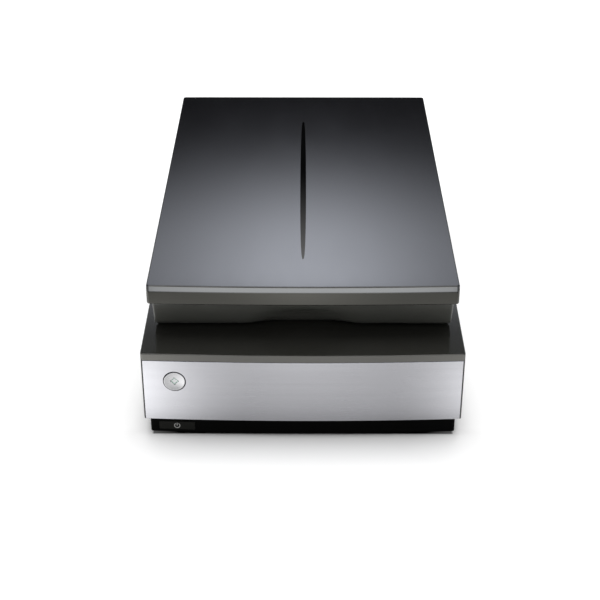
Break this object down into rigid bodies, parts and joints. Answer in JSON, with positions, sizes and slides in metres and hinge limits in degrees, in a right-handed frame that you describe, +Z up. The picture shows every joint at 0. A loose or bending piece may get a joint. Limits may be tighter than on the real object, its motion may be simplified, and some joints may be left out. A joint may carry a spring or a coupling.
{
  "type": "film negative scanner",
  "caption": "Flatbed film and photo scanner with a deep hinged lid, a silver front panel, a round start button and moving optics inside.",
  "frame": {"origin": "on the ground under the middle of the base's outline", "axes": "+X to the right seen from the front, +Y from the front panel to the hinge, +Z up"},
  "size_m": [0.308, 0.503, 0.152],
  "materials": {
    "case_plastic": "fine textured black moulding",
    "frame_gloss": "glossy near-black top with a dark grey front band",
    "silver_panel": "brushed left to right",
    "silver_button": "silver painted, satin",
    "light_guide": "pale green, lit from behind",
    "dark_button": "satin dark grey",
    "icon_grey": "printed grey",
    "circuit_board": "green lacquer",
    "rubber": "matt black rubber",
    "steel": "ground steel",
    "bronze": "sintered bronze",
    "clear_glass": "polished clear glass",
    "mirror_glass": "front-silvered strip",
    "diffuser": "milky light bar",
    "white_mat": "matt white",
    "nylon": "natural acetal",
    "motor_can": "plated can",
    "lid_gloss": "glossy dark charcoal with a metallic cast",
    "tray_plastic": "satin black moulding"
  },
  "bodies": {
    "base": {"lower_case": "case_plastic", "top_frame": "frame_gloss", "scan_glass": "clear_glass", "glass_gasket": "rubber", "white_strip": "white_mat", "front_panel": "silver_panel", "button_board": "circuit_board", "rubber_feet": "rubber", "guide_rod": "steel", "rod_clips": "steel", "side_rail": "steel", "drive_belt": "rubber", "idler_bracket": "steel", "motor_bracket": "steel", "scan_motor": "motor_can", "main_board": "circuit_board", "usb_socket": "steel", "power_socket": "case_plastic", "cover_socket": "icon_grey", "case_screws": "steel"},
    "start_key": {"start_button": "silver_button", "start_light": "light_guide"},
    "power_key": {"power_button": "dark_button", "power_ring": "icon_grey"},
    "carriage": {"carriage_frame": "case_plastic", "carriage_cover": "case_plastic", "carriage_bushes": "bronze", "light_bars": "diffuser", "first_mirror": "mirror_glass", "second_mirror": "mirror_glass", "third_mirror": "mirror_glass", "lens_rod": "steel", "sensor_board": "circuit_board", "image_sensor": "icon_grey"},
    "lens_slide": {"lens_carrier": "case_plastic", "photo_lens": "case_plastic", "film_lens": "case_plastic"},
    "drive_wheel": {"drive_pulley": "nylon"},
    "idler_wheel": {"idler_pulley": "nylon"},
    "motor_shaft": {"motor_pinion": "bronze"},
    "lock": {"transport_lock": "icon_grey"},
    "posts": {"lid_posts": "case_plastic"},
    "lid": {"lid_cover": "lid_gloss", "lid_tray": "tray_plastic", "film_window": "diffuser", "document_mat": "white_mat", "lid_pads": "rubber", "lamp_rod": "steel", "lamp_belt": "rubber", "lamp_motor": "motor_can", "lamp_board": "circuit_board", "lid_screws": "steel", "hinge_brackets": "steel", "hinge_pins": "steel", "cable_gland": "rubber"},
    "lamp": {"lamp_carriage": "nylon", "lamp_strip": "diffuser"},
    "lamp_wheel": {"lamp_pulley": "nylon"},
    "lamp_idler_wheel": {"lamp_idler": "nylon"},
    "lamp_shaft": {"lamp_pinion": "bronze"}
  },
  "joints": [
    {"name": "lid_lift", "type": "slide", "parent": "base", "child": "posts", "axis": [0, 0, 1], "range_m": [0, 0.045]},
    {"name": "lid_hinge", "type": "hinge", "parent": "posts", "child": "lid", "pos_m": [0, 0.236, 0.106], "axis": [-1, 0, 0], "range_deg": [0, 90]},
    {"name": "start_press", "type": "slide", "parent": "base", "child": "start_key", "axis": [0, 1, 0], "range_m": [0, 0.0012], "stiffness_N_per_m": 600},
    {"name": "power_press", "type": "slide", "parent": "base", "child": "power_key", "axis": [0, 1, 0], "range_m": [0, 0.001], "stiffness_N_per_m": 500},
    {"name": "scan_travel", "type": "slide", "parent": "base", "child": "carriage", "axis": [0, -1, 0], "range_m": [0, 0.318]},
    {"name": "lens_shift", "type": "slide", "parent": "carriage", "child": "lens_slide", "axis": [1, 0, 0], "range_m": [0, 0.028]},
    {"name": "drive_spin", "type": "hinge", "parent": "base", "child": "drive_wheel", "pos_m": [0.1, 0.208, 0.02], "axis": [0, 0, 1], "continuous": true},
    {"name": "idler_spin", "type": "hinge", "parent": "base", "child": "idler_wheel", "pos_m": [0.1, -0.216, 0.02], "axis": [0, 0, 1], "continuous": true},
    {"name": "motor_spin", "type": "hinge", "parent": "base", "child": "motor_shaft", "pos_m": [0.074, 0.208, 0.02], "axis": [0, 0, 1], "continuous": true},
    {"name": "lock_slide", "type": "slide", "parent": "base", "child": "lock", "axis": [0, 1, 0], "range_m": [0, 0.0118]},
    {"name": "lamp_travel", "type": "slide", "parent": "lid", "child": "lamp", "axis": [0, -1, 0], "range_m": [0, 0.275]},
    {"name": "lamp_spin", "type": "hinge", "parent": "lid", "child": "lamp_wheel", "pos_m": [0.1, 0.165, 0.12], "axis": [0, 0, 1], "continuous": true},
    {"name": "lamp_idler_spin", "type": "hinge", "parent": "lid", "child": "lamp_idler_wheel", "pos_m": [0.1, -0.172, 0.12], "axis": [0, 0, 1], "continuous": true},
    {"name": "lamp_motor_spin", "type": "hinge", "parent": "lid", "child": "lamp_shaft", "pos_m": [0.0808, 0.165, 0.12], "axis": [0, 0, 1], "continuous": true}
  ],
  "couplings": [
    {"joint": "drive_spin", "follows": "scan_travel", "rad_per_m": 112.36},
    {"joint": "idler_spin", "follows": "scan_travel", "rad_per_m": 112.36},
    {"joint": "motor_spin", "follows": "scan_travel", "rad_per_m": -374.53},
    {"joint": "lamp_spin", "follows": "lamp_travel", "rad_per_m": 147.06},
    {"joint": "lamp_idler_spin", "follows": "lamp_travel", "rad_per_m": 147.06},
    {"joint": "lamp_motor_spin", "follows": "lamp_travel", "rad_per_m": -441.18}
  ]
}
